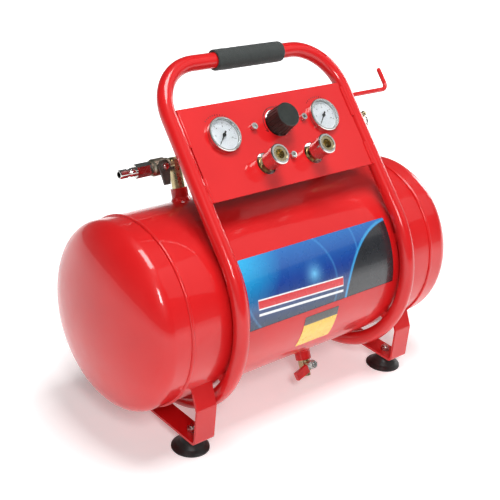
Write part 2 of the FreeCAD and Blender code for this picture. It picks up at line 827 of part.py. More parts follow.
def riser_pipe():
    """The pipe from the tank's outlet bung up to the right-hand gauge pipe."""
    solid = fuse(
        cylinder("threadRadius", "threadLength", move(z=f"{BUNG_TOP} - threadLength")),
        hexagon("riserNut", "riserNutHeight", move(z=BUNG_TOP)),
        cylinder("riserRadius", f"{RISER_REACH} - pipeRadius - {BUNG_TOP}", move(z=BUNG_TOP)),
        cylinder("riserSpigot", "pipeRadius / 2", move(z=f"{RISER_REACH} - pipeRadius")),
    )
    bore = cylinder("riserSpigot - 1", RISER_REACH, move(z=f"{BUNG_TOP} - threadLength - 1"))
    sub_part("riser_pipe", cut(solid, bore), TANK, OUTLET)


# --- regulator --------------------------------------------------------------------------------------
KNOB = move(x="knobAcross", y="knobAlong")
SPINDLE_HOLE = "spindleRadius + runFit"


def regulator_bonnet():
    points = [
        ("bonnetRadius - bonnetWall", "blockFront"),
        ("bonnetRadius", "blockFront"),
        ("bonnetRadius", "bonnetFront"),
        (SPINDLE_HOLE, "bonnetFront"),
        (SPINDLE_HOLE, "bonnetFront - bonnetEnd"),
        ("bonnetRadius - bonnetWall", "bonnetFront - bonnetEnd"),
    ]
    sub_part("regulator_bonnet", turned(points), PANEL, KNOB)


def regulator_inside():
    diaphragm = cylinder("bonnetRadius", "diaphragmThick")
    sub_part("regulator_diaphragm", diaphragm, PANEL, KNOB, move(z="blockFront - diaphragmThick"))
    seat_back = "seatFront - seatThick"
    seat = turned(
        [
            (SPINDLE_HOLE, seat_back),
            ("seatRadius", seat_back),
            ("seatRadius", "seatFront"),
            (SPINDLE_HOLE, "seatFront"),
        ]
    )
    sub_part("regulator_spring_seat", seat, PANEL, KNOB)
    length = f"{seat_back} - blockFront - regSpringWire - 2 * runFit"
    coil = spring("regSpringRadius", "regSpringWire", length, "3.5")
    sub_part("regulator_spring", coil, PANEL, KNOB, move(z="blockFront + regSpringWire / 2 + runFit"))
    spindle = turned(
        [
            ("0", "spindleBack"),
            ("spindleRadius", "spindleBack"),
            ("spindleRadius", "seatFront + 0.5"),
            ("spindleCollar", "seatFront + 0.5"),
            ("spindleCollar", "bonnetFront - bonnetEnd - 0.3"),
            ("spindleRadius", "bonnetFront - bonnetEnd - 0.3"),
            ("spindleRadius", "spindleFront"),
            ("0", "spindleFront"),
        ]
    )
    sub_part("regulator_spindle", spindle, PANEL, KNOB)


def regulator_knob():
    """A fluted, slightly tapered knob whose skirt covers the bonnet."""
    skirt_top = "knobBack + knobSkirtDepth"
    shape = turned(
        [
            ("knobSkirt", "knobBack"),
            ("knobBase", "knobBack"),
            ("knobTop", "knobFront - 1.2"),
            ("knobTop - 1.2", "knobFront"),
            ("0", "knobFront"),
            ("0", "knobFront - knobHoleEnd"),
            (SPINDLE_HOLE, "knobFront - knobHoleEnd"),
            (SPINDLE_HOLE, skirt_top),
            ("knobSkirt", skirt_top),
        ]
    )
    taper = "-atan((knobBase - knobTop) / (knobFront - knobBack))"
    flutes = [
        cylinder(
            "fluteRadius",
            "knobFront - knobBack - 3",
            move(turns=[(Z_AXIS, str(360 / FLUTES * index))]),
            move(x="knobBase + fluteRadius / 3", z="knobBack - 1", turns=[(Y_AXIS, taper)]),
        )
        for index in range(FLUTES)
    ]
    sub_part("regulator_knob", cut(shape, *flutes), PANEL, KNOB)


# --- quick couplers ---------------------------------------------------------------------------------
def coupler(name, across):
    place = move(x=across, y="couplerAlong")
    rear = "blockFront - socketThread"
    barrel = turned(
        [
            ("0", rear),
            ("threadRadius", rear),
            ("threadRadius", "blockFront"),
            ("socketRadius", "blockFront"),
            ("socketRadius", "springCollarBack"),
            ("springCollar", "springCollarBack"),
            ("springCollar", "springCollarFront"),
            ("socketRadius", "springCollarFront"),
            ("socketRadius", "socketFront - stopWidth"),
            ("stopRadius", "socketFront - stopWidth"),
            ("stopRadius", "socketFront"),
            ("0", "socketFront"),
        ]
    )
    bore = turned(
        [
            ("0", f"{rear} - 1"),
            ("socketRearBore", f"{rear} - 1"),
            ("socketRearBore", "socketStepBack"),
            ("socketBore", "socketStepBack"),
            ("socketBore", "valveSeatBack"),
            ("valveSeatBore", "valveSeatBack"),
            ("valveSeatBore", "valveSeatFront"),
            ("socketBore", "valveSeatFront"),
            ("socketBore", "socketFront + 1"),
            ("0", "socketFront + 1"),
        ]
    )
    hexagonal = hexagon("socketHex", "socketHexFront - blockFront", move(z="blockFront"))
    ball_holes = [
        cylinder(
            "ballRadius + 0.1",
            "socketRadius + 2",
            move(z="ballPlace", turns=[(Z_AXIS, str(360 / BALLS * index)), (Y_AXIS, "90")]),
        )
        for index in range(BALLS)
    ]
    sub_part(f"{name}_body", cut(fuse(barrel, hexagonal), bore, *ball_holes), PANEL, place)

    slide_bore = "socketRadius + runFit"
    sleeve = turned(
        [
            (slide_bore, "sleeveShoulder"),
            ("sleevePocket", "sleeveShoulder"),
            ("sleevePocket", "sleeveBack"),
            ("sleeveRadius", "sleeveBack"),
            ("sleeveRadius", "sleeveFlangeBack - 1.2"),
            ("sleeveFlange", "sleeveFlangeBack"),
            ("sleeveFlange", "sleeveFront - 1.2"),
            ("sleeveFlange - 1.2", "sleeveFront"),
            ("stopRadius + 0.25", "sleeveFront"),
            ("stopRadius + 0.25", "sleeveStop"),
            (slide_bore, "sleeveStop"),
        ]
    )
    sub_part(f"{name}_sleeve", sleeve, PANEL, place)

    length = "sleeveShoulder - springCollarFront - couplerSpringWire - 2 * runFit"
    coil = spring("couplerSpringRadius", "couplerSpringWire", length, "4")
    start = move(z="springCollarFront + couplerSpringWire / 2 + runFit")
    sub_part(f"{name}_spring", coil, PANEL, place, start)

    plunger = turned(
        [
            ("0", "socketStepBack - 1.5"),
            ("plungerStem", "socketStepBack - 1.5"),
            ("plungerStem", "valveSeatBack - 4.4"),
            ("plungerRadius", "valveSeatBack - 4.4"),
            ("plungerRadius", "valveSeatBack - 0.4"),
            ("plungerNose", "valveSeatBack - 0.4"),
            ("plungerNose", "valveSeatFront - 0.3"),
            ("0", "valveSeatFront - 0.3"),
        ]
    )
    sub_part(f"{name}_valve", plunger, PANEL, place)


def coupler_balls():
    """The locking balls of both couplers, loose in the sockets' radial holes."""
    balls = []
    for across in ("couplerLeft", "couplerRight"):
        for index in range(BALLS):
            turn = [(Z_AXIS, str(360 / BALLS * index))]
            place = move(x=across, y="couplerAlong", z="ballPlace", turns=turn)
            balls.append(sphere("ballRadius", place, move(x="ballCircle")))
    sub_part("coupler_balls", fuse(*balls), PANEL)


# --- gauges -----------------------------------------------------------------------------------------
def gauge(name, across):
    place = move(x=across, y="gaugeAlong")
    cavity = "gaugeBody - gaugeWall"
    case = turned(
        [
            ("0", "pipeBack + 2"),
            ("gaugeStem", "pipeBack + 2"),
            ("gaugeStem", "gaugeBack"),
            ("gaugeBody", "gaugeBack"),
            ("gaugeBody", "panelFace"),
            ("gaugeRim", "panelFace"),
            ("gaugeRim", "gaugeRimFront"),
            ("gaugeBezel", "gaugeRimFront"),
            ("gaugeBezel", "gaugeFront - 0.8"),
            ("gaugeBezel - 0.8", "gaugeFront"),
            ("gaugeGlass", "gaugeFront"),
            ("gaugeGlass", "gaugeShelf"),
            (cavity, "gaugeShelf"),
            (cavity, "gaugeBack + gaugeWall"),
            ("0", "gaugeBack + gaugeWall"),
        ]
    )
    sub_part(f"{name}_case", case, PANEL, place)
    hole = "pointerShaft + runFit"
    dial = cut(cylinder("gaugeGlass - 0.3", "dialThick"), cylinder(hole, "2 * dialThick", move(z="-0.2")))
    sub_part(f"{name}_dial", dial, PANEL, place, move(z="gaugeShelf"))
    sub_part(f"{name}_lens", cylinder("gaugeGlass", "lensThick"), PANEL, place, move(z="lensBack"))
    needle = plate(
        [
            ("-pointerTail", "-1.1"),
            ("0", "-0.9"),
            ("pointerLength", "-0.25"),
            ("pointerLength", "0.25"),
            ("0", "0.9"),
            ("-pointerTail", "1.1"),
        ],
        "0.5",
        (),
        move(z="pointerLift", turns=[(Z_AXIS, "zeroAngle")]),
    )
    shaft = cylinder("pointerShaft", "pointerLift + 3", move(z="-2"))
    hub = cylinder("2.2", "1.2", move(z="pointerLift"))
    sub_part(f"{name}_pointer", fuse(needle, shaft, hub), PANEL, place)


def bourdon_tubes():
    """The curved pressure tube inside each gauge, on its socket over the stem."""
    tubes = []
    for across in ("-gaugeAcross", "gaugeAcross"):
        place = move(x=across, y="gaugeAlong", z="gaugeBack + gaugeWall")
        coil = torus("bourdonRadius", "bourdonTube", "270", place, move(z="6", turns=[(Z_AXIS, "-90")]))
        socket = cylinder("bourdonTube + 1", "7.5", place, move(y="-bourdonRadius"))
        tubes.append(fuse(coil, socket))
    sub_part("bourdon_tubes", fuse(*tubes), PANEL)


# --- safety valve -----------------------------------------------------------------------------------
VALVE_END = move(x="pipeEnd", y="gaugeAlong", z="pipeBack", turns=[(Y_AXIS, "90")])
EYE = move(x="eyeAcross", y="gaugeAlong", z="pipeBack", turns=[(X_AXIS, "-frameTilt")])


def safety_valve():
    length = "(safetyEnd - pipeEnd)"
    body = fuse(
        cylinder("threadRadius", "threadLength", move(z="-threadLength")),
        hexagon("safetyHex", "safetyHexLength"),
        cylinder("safetyRadius", f"{length} - 3"),
        cone("safetyRadius", "safetyRadius - 2", "3", move(z=f"{length} - 3")),
    )
    drilled = [
        cylinder("portBore - 1", "threadLength + 6", move(z="-threadLength - 1")),
        cylinder("safetyBore", f"{length} - 8", move(z="5")),
        cylinder("liftRod + runFit", "10", move(z=f"{length} - 5")),
    ]
    sub_part("safety_valve_body", cut(body, *drilled), PANEL, VALVE_END)
    disc = "(eyeAcross - pipeEnd - 5.3)"
    eye = cylinder("liftEye + 0.8", "3", move(y="1.5", turns=[(X_AXIS, "90")]))
    hole = cylinder("eyeHole + 0.7", "6", move(y="3", turns=[(X_AXIS, "90")]))
    rod = fuse(
        cylinder("liftRod", disc, move(turns=[(Y_AXIS, "-90")])),
        cylinder("safetyBore - 0.5", "2.5", move(x=f"-{disc}", turns=[(Y_AXIS, "90")])),
        eye,
    )
    sub_part("safety_valve_stem", cut(rod, hole), PANEL, EYE)
    coil_start = "pipeEnd + 5.3 + 2.5 + 0.6"
    coil = spring("safetyBore - 1.6", "1", f"safetyEnd - 3.6 - ({coil_start})", "8")
    sub_part("safety_valve_spring", coil, PANEL, move(y="gaugeAlong", z="pipeBack"), along_x(coil_start))
    turns = [
        torus("ringRadius", "ringWire", "360", move(x=offset, z="-ringRadius", turns=[(Y_AXIS, "90")]))
        for offset in ("-0.9 * ringWire", "0.9 * ringWire")
    ]
    sub_part("safety_pull_ring", fuse(*turns), PANEL, EYE)


# --- ball valves ------------------------------------------------------------------------------------
def seat_start(ball):
    """How far from the ball's centre a seat ring of the shared proportion may begin."""
    return f"({ball} * sqrt(1 - seatInner^2) + 0.15)"


def seat_pair(ball, chamber, *places):
    rings = []
    for start in (seat_start(ball), f"-{seat_start(ball)} - seatLength"):
        ring = cylinder(chamber, "seatLength", *places, move(z=start))
        hole = cylinder(f"{ball} * seatInner", "2 * seatLength", *places, move(z=f"{start} - seatLength / 2"))
        rings.append(cut(ring, hole))
    return rings


def chamber_hole(ball, chamber, *places):
    half = f"({seat_start(ball)} + seatLength)"
    return cylinder(chamber, f"2 * {half}", *places, move(z=f"-{half}"))


INLET_VALVE = move(x="-elbowArm", z="inletRadius", turns=[(Y_AXIS, "-90")])
INLET_BALL = move(z="inletBallPlace")
DRAIN_BALL = move(z="drainRadius")


def inlet_elbow():
    solid = fuse(
        cylinder("threadRadius", "threadLength", move(z=f"{BUNG_TOP} - threadLength")),
        cylinder("elbowRadius", f"elbowTop - 2 - {BUNG_TOP}", move(z=BUNG_TOP)),
        cone("elbowRadius", "elbowRadius - 2", "2", move(z="elbowTop - 2")),
        cylinder("elbowRadius - 1", "elbowArm", move(z="inletRadius", turns=[(Y_AXIS, "-90")])),
    )
    rise = f"inletRadius - {BUNG_TOP} + threadLength + 1"
    bores = fuse(
        cylinder("portBore", rise, move(z=f"{BUNG_TOP} - threadLength - 1")),
        cylinder("portBore", "elbowArm + 1", move(z="inletRadius", turns=[(Y_AXIS, "-90")])),
    )
    sub_part("inlet_elbow", cut(solid, bores), TANK, INLET)


def inlet_valve():
    shape = turned(
        [
            ("portBore", "0"),
            ("inletCollar", "0"),
            ("inletCollar", "inletCollarLength"),
            ("inletValveRadius", "inletCollarLength"),
            ("inletValveRadius", "inletValveLength - 4"),
            ("inletValveRadius - 2", "inletValveLength - 2"),
            ("inletValveRadius - 2", "inletValveLength"),
            ("portBore", "inletValveLength"),
        ]
    )
    forward = move(turns=[(X_AXIS, "90")])
    boss = cylinder("inletBoss", "inletBossLength", INLET_BALL, forward)
    stem_hole = cylinder("inletStem + runFit", "inletBossLength + 1", INLET_BALL, forward)
    chamber = chamber_hole("inletBall", "inletChamber", INLET_BALL)
    sub_part("inlet_valve_body", cut(fuse(shape, boss), chamber, stem_hole), TANK, INLET, INLET_VALVE)

    stem_length = "inletBossLength + inletLeverGap + inletLeverThick + 4"
    ball = cut(
        fuse(sphere("inletBall"), cylinder("inletStem", stem_length, forward)),
        cylinder("portBore", "4 * inletBall", move(x="-2 * inletBall", turns=[(Y_AXIS, "90")])),
    )
    sub_part("inlet_valve_ball", ball, TANK, INLET, INLET_VALVE, INLET_BALL)

    arm = plate(
        [
            ("0", "-inletHub + 0.6"),
            ("0", "inletHub - 0.6"),
            ("-inletLeverLength", "inletLeverTip"),
            ("-inletLeverLength", "-inletLeverTip"),
        ],
        "inletLeverThick",
    )
    lug = box(("-6", "-inletHub - 5", "0"), ("-2", "-inletHub + 1.5", "inletLeverThick"))
    hole = cylinder("inletStem", "10", move(z="-1"))
    lever = cut(fuse(cylinder("inletHub", "inletLeverThick"), arm, lug), hole)
    lever_place = move(y="-inletBossLength - inletLeverGap", turns=[(X_AXIS, "90")])
    sub_part("inlet_lever", lever, TANK, INLET, INLET_VALVE, INLET_BALL, lever_place)
    nut = cut(hexagon("inletNut", "3.2"), cylinder("inletStem", "10", move(z="-1")))
    nut_place = move(z="inletLeverThick")
    sub_part("inlet_lever_nut", nut, TANK, INLET, INLET_VALVE, INLET_BALL, lever_place, nut_place)


def inlet_plug():
    """The hexagonal male plug that a supply hose's socket pushes onto."""
    groove = "plugLength - 14"
    nose = turned(
        [
            ("plugBore", "0"),
            ("plugRadius", "0"),
            ("plugRadius", f"{groove} - 2"),
            ("plugGroove", groove),
            ("plugGroove", f"{groove} + 3"),
            ("plugRadius", f"{groove} + 4"),
            ("plugRadius", "plugLength - 1"),
            ("plugRadius - 1", "plugLength"),
            ("plugBore", "plugLength"),
        ]
    )
    grip = cut(hexagon("plugHex", "plugHexLength"), cylinder("plugRadius", "plugHexLength + 2", move(z="-1")))
    sub_part("inlet_plug", fuse(nose, grip), TANK, INLET, INLET_VALVE, move(z="inletValveLength"))


def drain_cock():
    body = fuse(
        cylinder("threadRadius", "threadLength", move(z=f"{BUNG_TOP} - threadLength")),
        cylinder("cockRadius", f"cockEnd - {BUNG_TOP}", move(z=BUNG_TOP)),
        cylinder("spoutRadius", "spoutEnd - cockEnd", move(z="cockEnd")),
        cylinder("drainBoss", "drainBossLength", DRAIN_BALL, move(turns=[(X_AXIS, "-90")])),
    )
    bore = cylinder("drainBore", "80", move(z=f"{BUNG_TOP} - threadLength - 1"))
    backward = move(turns=[(X_AXIS, "-90")])
    stem_hole = cylinder("drainStem + runFit", "drainBossLength + 1", DRAIN_BALL, backward)
    chamber = chamber_hole("drainBall", "drainChamber", DRAIN_BALL)
    sub_part("drain_cock_body", cut(body, bore, stem_hole, chamber), TANK, DRAIN)

    stem_length = "drainBossLength + drainLeverGap + drainLeverThick + drainNutHeight + 0.5"
    ball = cut(
        fuse(sphere("drainBall"), cylinder("drainStem", stem_length, move(turns=[(X_AXIS, "-90")]))),
        cylinder("drainBore - 0.1", "4 * drainBall", move(x="-2 * drainBall", turns=[(Y_AXIS, "90")])),
    )
    sub_part("drain_cock_ball", ball, TANK, DRAIN, DRAIN_BALL)

    place = move(y="drainBossLength + drainLeverGap", turns=[(X_AXIS, "-90"), (Z_AXIS, "drainCrank")])
    arm = box(("-drainLeverLength", "-drainLeverHalf", "0"), ("0", "drainLeverHalf", "drainLeverThick"))
    lever = cut(fuse(cylinder("drainHub", "drainLeverThick"), arm), cylinder("drainStem", "8", move(z="-1")))
    sub_part("drain_lever", lever, TANK, DRAIN, DRAIN_BALL, place)
    proud = "(sleeveThick - drainLeverThick) / 2"
    sleeve = cut(
        box(
            ("-drainLeverLength - sleeveTip", "-sleeveHalf", f"-{proud}"),
            ("-sleeveStart", "sleeveHalf", f"drainLeverThick + {proud}"),
        ),
        box(("-drainLeverLength", "-drainLeverHalf", "0"), ("0", "drainLeverHalf", "drainLeverThick")),
    )
    sub_part("drain_lever_sleeve", sleeve, TANK, DRAIN, DRAIN_BALL, place)
    nut = cut(hexagon("drainNut", "drainNutHeight"), cylinder("drainStem", "8", move(z="-1")))
    sub_part("drain_lever_nut", nut, TANK, DRAIN, DRAIN_BALL, place, move(z="drainLeverThick"))


def valve_seats():
    rings = seat_pair("inletBall", "inletChamber", INLET, INLET_VALVE, INLET_BALL)
    rings += seat_pair("drainBall", "drainChamber", DRAIN, DRAIN_BALL)
    sub_part("valve_seats", fuse(*rings), TANK)


# --- feet -------------------------------------------------------------------------------------------
FOOT_SPOTS = [(f"{x} * bracketAcross", f"{y} * footHalf") for x in ("-1", "1") for y in ("-1", "1")]


def foot_bracket(name, side):
    """A bent strap: two arms up to the tank and a flat base that carries two feet."""
    strap_top = "footHeight + strapThick"
    lean_y = "bracketArm * sin(bracketLean)"
    lean_z = "bracketArm * cos(bracketLean)"
    inner_bend = "bracketBend - strapThick * tan(bracketLean / 2)"
    half = [
        ("bracketHalf", "footHeight"),
        ("bracketHalf", "bracketBend"),
        (f"bracketHalf - {lean_y}", f"bracketBend + {lean_z}"),
        (
            f"bracketHalf - {lean_y} - strapThick * cos(bracketLean)",
            f"bracketBend + {lean_z} - strapThick * sin(bracketLean)",
        ),
        ("bracketHalf - strapThick", inner_bend),
        ("bracketHalf - strapThick", strap_top),
    ]
    mirrored = [(f"-({y})", z) for y, z in reversed(half)]
    strap = plate(half + mirrored, "bracketWidth")
    reach = number("bracketHalf - strapThick") - 0.5
    edge, level = number("bracketHalf") - 0.01, number("bracketBend") + 1
    round_bends(strap, "bracketRound", lambda y, z: abs(y) > edge and z < level)
    round_bends(
        strap,
        "bracketRound - strapThick",
        lambda y, z: reach < abs(y) < edge - 1 and z < level,
    )
    place = move(x=f"{side} * bracketAcross - bracketWidth / 2", turns=[("1; 1; 1", "120")])
    put(strap, place)
    tank = cylinder("tankRadius", "2 * shellHalf", move(z="tankHeight"), along_x("-shellHalf"))
    holes = [
        cylinder("studHole", "3 * strapThick", move(x, y, "footHeight - strapThick"))
        for x, y in FOOT_SPOTS
        if x.startswith(f"{side} ")
    ]
    sub_part(name, cut(strap, tank, *holes), FLOOR)


def rubber_feet():
    """Four suction feet, each moulded round the base of its stud."""
    feet = [
        turned(
            [
                ("0", "4.2"),
                ("8", "3.4"),
                ("footRadius - 3.2", "0"),
                ("footRadius", "0"),
                ("footRadius - 0.3", "1.4"),
                ("footRadius * 0.75", "5"),
                ("footRadius * 0.56", "9.5"),
                ("footNeck", "14.5"),
                ("footNeck", "footHeight"),
                ("studRadius", "footHeight"),
                ("studRadius", "studBottom"),
                ("0", "studBottom"),
            ],
            move(x, y),
        )
        for x, y in FOOT_SPOTS
    ]
    sub_part("rubber_feet", fuse(*feet), FLOOR)


def foot_fasteners():
    studs = [cylinder("studRadius", "studTop - studBottom", move(x, y, "studBottom")) for x, y in FOOT_SPOTS]
    sub_part("foot_studs", fuse(*studs), FLOOR)
    nuts = [
        cut(
            hexagon("nutRadius", "nutHeight", move(x, y, "footHeight + strapThick")),
            cylinder("studRadius", "2 * nutHeight", move(x, y, "footHeight")),
        )
        for x, y in FOOT_SPOTS
    ]
    sub_part("foot_nuts", fuse(*nuts), FLOOR)


# --- assembly ---------------------------------------------------------------------------------------
tank_shell()
tank_head("tank_head_right", "1")
tank_head("tank_head_left", "-1")
tank_bungs()
weld_beads()
carry_frame()
frame_pads()
foam_grip()
hose_hook()
control_panel()
panel_screws()
manifold_block()
gauge_pipe("gauge_pipe_left", "-1", BLOCK_LEFT, "-gaugeAcross - pipeCap", False)
gauge_pipe("gauge_pipe_right", "1", BLOCK_RIGHT, "pipeEnd", True)
riser_pipe()
regulator_bonnet()
regulator_inside()
regulator_knob()
coupler("coupler_left", "couplerLeft")
coupler("coupler_right", "couplerRight")
coupler_balls()
gauge("gauge_left", "-gaugeAcross")
gauge("gauge_right", "gaugeAcross")
bourdon_tubes()
safety_valve()
inlet_elbow()
inlet_valve()
inlet_plug()
drain_cock()
valve_seats()
foot_bracket("foot_bracket_left", "-1")
foot_bracket("foot_bracket_right", "1")
rubber_feet()
foot_fasteners()

doc.recompute()
for item in doc.Objects:
    if "Invalid" in item.State or "Error" in item.State:
        raise RuntimeError(f"{item.Name} ({item.Label}) did not compute: {item.State}")
for node in nodes:
    if node.Shape.isNull() or not node.Shape.isValid() or not node.Shape.Solids:
        raise RuntimeError(f"{node.Label} is not a valid solid")

os.makedirs("parts", exist_ok=True)
for node in nodes:
    node.Shape.exportStep(f"parts/{node.Label}.step")
    print(f"{node.Label}: {len(node.Shape.Solids)} solids, {node.Shape.Volume / 1000:.2f} cm3")
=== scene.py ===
import json
import math

import bmesh
import bpy
from mathutils import Matrix, Vector


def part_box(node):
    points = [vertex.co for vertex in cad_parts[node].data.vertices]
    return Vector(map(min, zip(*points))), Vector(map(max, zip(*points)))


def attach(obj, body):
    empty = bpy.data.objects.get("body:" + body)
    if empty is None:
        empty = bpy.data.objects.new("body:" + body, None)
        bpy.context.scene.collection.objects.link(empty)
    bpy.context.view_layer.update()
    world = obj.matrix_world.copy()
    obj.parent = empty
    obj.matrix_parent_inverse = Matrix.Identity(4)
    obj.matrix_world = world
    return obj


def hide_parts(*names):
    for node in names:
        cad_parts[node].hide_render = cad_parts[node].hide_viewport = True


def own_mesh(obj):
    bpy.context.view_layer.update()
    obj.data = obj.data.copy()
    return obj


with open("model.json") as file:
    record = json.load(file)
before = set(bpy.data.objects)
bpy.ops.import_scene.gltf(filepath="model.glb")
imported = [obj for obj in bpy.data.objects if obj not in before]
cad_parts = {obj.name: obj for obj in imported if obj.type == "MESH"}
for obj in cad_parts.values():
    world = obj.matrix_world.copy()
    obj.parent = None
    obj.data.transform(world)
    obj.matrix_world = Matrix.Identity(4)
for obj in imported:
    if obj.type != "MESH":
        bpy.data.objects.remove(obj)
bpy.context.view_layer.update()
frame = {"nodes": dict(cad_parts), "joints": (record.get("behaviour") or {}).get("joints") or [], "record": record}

# A portable air receiver.  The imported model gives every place; lengths here are millimetres times MM.
MM = 0.001

# Places that several pieces share, read from the model.
TANK_LOW, TANK_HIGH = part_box("tank_shell")
AXIS_Y = (TANK_LOW.y + TANK_HIGH.y) / 2
AXIS_Z = (TANK_LOW.z + TANK_HIGH.z) / 2
TANK_RADIUS = (TANK_HIGH.z - TANK_LOW.z) / 2
JOINTS = {joint["name"]: joint for joint in frame["joints"]}
ACROSS = Vector((1, 0, 0))
OUTWARD = -Vector(JOINTS["regulator_spindle_turn"]["axis"]).normalized()
UPWARD = OUTWARD.cross(ACROSS).normalized()
ROOT = "tank"

# Sizes of the pieces made here, in millimetres.
TUBE_RADIUS = 9.55
GRIP_SLACK = 0.05
LABEL_PROUD = 0.25
LABEL_THICK = 0.15
DIAL_BELOW_POINTER = 0.9
PRINT_THICK = 0.06
PRINT_PROUD = 0.08
DIAL_ZERO = 225
DIAL_SWEEP = 250
DIAL_STEPS = 50
DIAL_NUMBERS = 5
TICK_END = 17.2
NUMBER_SIZE = 3.0
NUMBER_REACH = 11.6
# A turning mark round the knob: radii, angles in degrees, and the two bars of each arrow head.
MARK_INNER, MARK_OUTER = 20.6, 21.6
MARK_FIRST, MARK_LAST = 62, 205
ARROW_LENGTH, ARROW_WIDTH, ARROW_SPREAD = 4.2, 0.9, 32
# A row of dots over each gauge.
DOT_LENGTH, DOT_WIDTH, DOT_REACH = 1.5, 1.3, 27.5
DOTS, DOT_FIRST, DOT_APART = 11, 52, 7.6
# The labels: ends along the tank, angles from the top towards the front, and corner size.
BLUE_LABEL = {"left": -118, "right": 126, "top": 45.5, "bottom": 88.3, "corner": 1.5}
YELLOW_LABEL = {"left": -28, "right": 29, "top": 92.5, "bottom": 117, "corner": 1.0}
# Heights above the plane of the legs' middle lines.
PANEL_FACE = 4.84
BONNET_FRONT = 13.0
POINTER_LIFT = 7.2


# --- finishes ---------------------------------------------------------------------------------------
def finish(name):
    """A new material with its shader, ready for nodes."""
    material = bpy.data.materials.new(name)
    material.use_nodes = True
    return material, material.node_tree, material.node_tree.nodes["Principled BSDF"]


def node(tree, kind, settings=None, **inputs):
    """Adds a node.  Settings are its own properties; inputs are values, or sockets to link."""
    made = tree.nodes.new("ShaderNode" + kind)
    for name, value in (settings or {}).items():
        setattr(made, name, value)
    for name, value in inputs.items():
        key = int(name[1:]) if name[0] == "_" else name.replace("_", " ")
        if isinstance(value, bpy.types.NodeSocket):
            tree.links.new(value, made.inputs[key])
        else:
            made.inputs[key].default_value = value
    return made


def place(tree):
    return node(tree, "TexCoord").outputs["Object"]


def noise(tree, scale, detail=3.0):
    return node(tree, "TexNoise", Vector=place(tree), Scale=scale, Detail=detail).outputs["Fac"]


def ramp(tree, fac, *stops):
    made = node(tree, "ValToRGB", Fac=fac)
    elements = made.color_ramp.elements
    while len(elements) < len(stops):
        elements.new(0.5)
    for element, (at, colour) in zip(elements, stops):
        element.position = at
        element.color = (*colour, 1)
    return made.outputs["Color"]


def spread(tree, fac, low, high):
    """Maps noise, which stays near the middle, to a range of plain numbers."""
    made = node(tree, "MapRange", _0=fac, _1=0.3, _2=0.7, _3=low, _4=high)
    return made.outputs[0]


def grain(tree, shader, height, depth, strength=1.0):
    """Raises a surface by a height socket, depth in metres."""
    made = node(tree, "Bump", Height=height, Distance=depth, Strength=strength)
    tree.links.new(made.outputs[0], shader.inputs["Normal"])


def red_enamel():
    material, tree, shader = finish("red_enamel")
    tint = ramp(tree, noise(tree, 9, 2), (0.3, (0.56, 0.007, 0.009)), (0.7, (0.63, 0.011, 0.012)))
    tree.links.new(tint, shader.inputs["Base Color"])
    haze = spread(tree, noise(tree, 35, 4), 0.34, 0.44)
    tree.links.new(haze, shader.inputs["Roughness"])
    shader.inputs["Specular IOR Level"].default_value = 0.2
    shader.inputs["Coat Weight"].default_value = 0.75
    shader.inputs["Coat Roughness"].default_value = 0.04
    shader.inputs["Coat IOR"].default_value = 1.45
    grain(tree, shader, noise(tree, 220, 2), 0.00005, 0.35)
    return material


def foam():
    material, tree, shader = finish("foam")
    cells = noise(tree, 1900, 4)
    tint = ramp(tree, cells, (0.35, (0.012, 0.016, 0.015)), (0.7, (0.035, 0.042, 0.04)))
    tree.links.new(tint, shader.inputs["Base Color"])
    shader.inputs["Roughness"].default_value = 0.78
    shader.inputs["Sheen Weight"].default_value = 0.15
    shader.inputs["Sheen Roughness"].default_value = 0.5
    grain(tree, shader, cells, 0.00035, 0.7)
    return material


def rubber():
    material, tree, shader = finish("rubber")
    tint = ramp(tree, noise(tree, 60, 3), (0.3, (0.008, 0.009, 0.009)), (0.7, (0.02, 0.021, 0.02)))
    tree.links.new(tint, shader.inputs["Base Color"])
    tree.links.new(spread(tree, noise(tree, 90, 3), 0.38, 0.55), shader.inputs["Roughness"])
    grain(tree, shader, noise(tree, 900, 3), 0.0001, 0.4)
    return material


def metal(name, dark, light, low, high, pits=0.00003):
    """A bare or plated metal: its tint and roughness wander between two values."""
    material, tree, shader = finish(name)
    shader.inputs["Metallic"].default_value = 1.0
    clouds = noise(tree, 60, 5)
    tree.links.new(ramp(tree, clouds, (0.3, dark), (0.7, light)), shader.inputs["Base Color"])
    tree.links.new(spread(tree, noise(tree, 180, 4), low, high), shader.inputs["Roughness"])
    grain(tree, shader, noise(tree, 900, 3), pits, 0.5)
    return material


def plastic(name, dark, light, low, high, pits=0.00008, coat=0.0):
    material, tree, shader = finish(name)
    tint = ramp(tree, noise(tree, 80, 3), (0.3, dark), (0.7, light))
    tree.links.new(tint, shader.inputs["Base Color"])
    tree.links.new(spread(tree, noise(tree, 240, 3), low, high), shader.inputs["Roughness"])
    shader.inputs["Coat Weight"].default_value = coat
    grain(tree, shader, noise(tree, 1600, 3), pits, 0.5)
    return material


def clear_lens():
    material, tree, shader = finish("clear_lens")
    shader.inputs["Base Color"].default_value = (0.97, 0.985, 0.99, 1)
    shader.inputs["Transmission Weight"].default_value = 1.0
    shader.inputs["IOR"].default_value = 1.2
    tree.links.new(spread(tree, noise(tree, 50, 2), 0.0, 0.03), shader.inputs["Roughness"])
    return material


